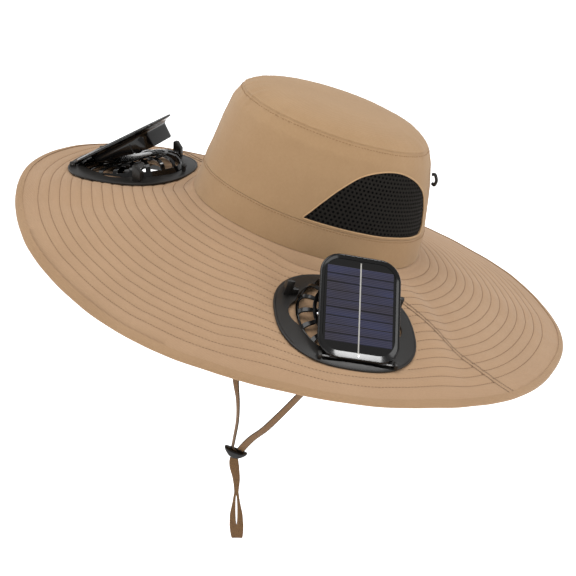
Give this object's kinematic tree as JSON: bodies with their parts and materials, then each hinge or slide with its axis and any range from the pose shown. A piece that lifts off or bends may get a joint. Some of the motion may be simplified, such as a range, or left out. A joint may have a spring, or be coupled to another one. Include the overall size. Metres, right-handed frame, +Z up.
{
  "type": "solar fan hat",
  "caption": "Wide-brimmed sun hat with mesh vents, a chin strap with a cord lock, and solar fan modules with hinged lids let into the brim.",
  "frame": {"origin": "centre of the head opening, in the plane where the crown meets the brim", "axes": "+Z up along the crown, -Y to the front of the hat, +X to the wearer's left"},
  "size_m": [0.4554, 0.4709, 0.4002],
  "materials": {
    "crown_cloth": "plain khaki poplin",
    "brim_cloth": "khaki poplin quilted in rings",
    "binding_tape": "khaki bias tape",
    "air_mesh": "black three-layer air mesh",
    "strap_braid": "brown flat braid",
    "elastic_cord": "black covered elastic",
    "black_plastic": "glossy black",
    "dark_plastic": "satin dark grey",
    "solar_cells": "dark blue cells under clear resin",
    "steel": "plain"
  },
  "bodies": {
    "hat": {"crown_tip": "crown_cloth", "crown_side": "crown_cloth", "crown_band": "crown_cloth", "vent_mesh_left": "air_mesh", "vent_mesh_right": "air_mesh", "brim_front": "brim_cloth", "brim_rear": "brim_cloth", "brim_binding": "binding_tape", "adjuster_loop": "elastic_cord", "chin_strap_left": "strap_braid", "chin_strap_right": "strap_braid", "chin_strap_tail": "strap_braid", "cord_lock": "black_plastic", "fan_flange_left": "dark_plastic", "fan_cage_left": "black_plastic", "fan_backplate_left": "black_plastic", "hinge_pin_left": "steel", "fan_flange_right": "dark_plastic", "fan_cage_right": "black_plastic", "fan_backplate_right": "black_plastic", "hinge_pin_right": "steel"},
    "lid_left": {"solar_lid_left": "black_plastic", "solar_panel_left": "solar_cells"},
    "fan_left": {"fan_rotor_left": "black_plastic"},
    "lid_right": {"solar_lid_right": "black_plastic", "solar_panel_right": "solar_cells"},
    "fan_right": {"fan_rotor_right": "black_plastic"}
  },
  "joints": [
    {"name": "lid_left_hinge", "type": "hinge", "parent": "hat", "child": "lid_left", "pos_m": [0.17152, -0.09431, -0.03113], "axis": [0.5043, 0.8572, 0.1042], "range_deg": [0, 50]},
    {"name": "fan_left_spin", "type": "hinge", "parent": "hat", "child": "fan_left", "pos_m": [0.13312, -0.07163, -0.03183], "axis": [0.194, -0.2301, 0.9536], "continuous": true},
    {"name": "lid_right_hinge", "type": "hinge", "parent": "hat", "child": "lid_right", "pos_m": [-0.17152, -0.09431, -0.03113], "axis": [0.5043, -0.8572, -0.1042], "range_deg": [0, 50]},
    {"name": "fan_right_spin", "type": "hinge", "parent": "hat", "child": "fan_right", "pos_m": [-0.13312, -0.07163, -0.03183], "axis": [-0.194, -0.2301, 0.9536], "continuous": true}
  ]
}
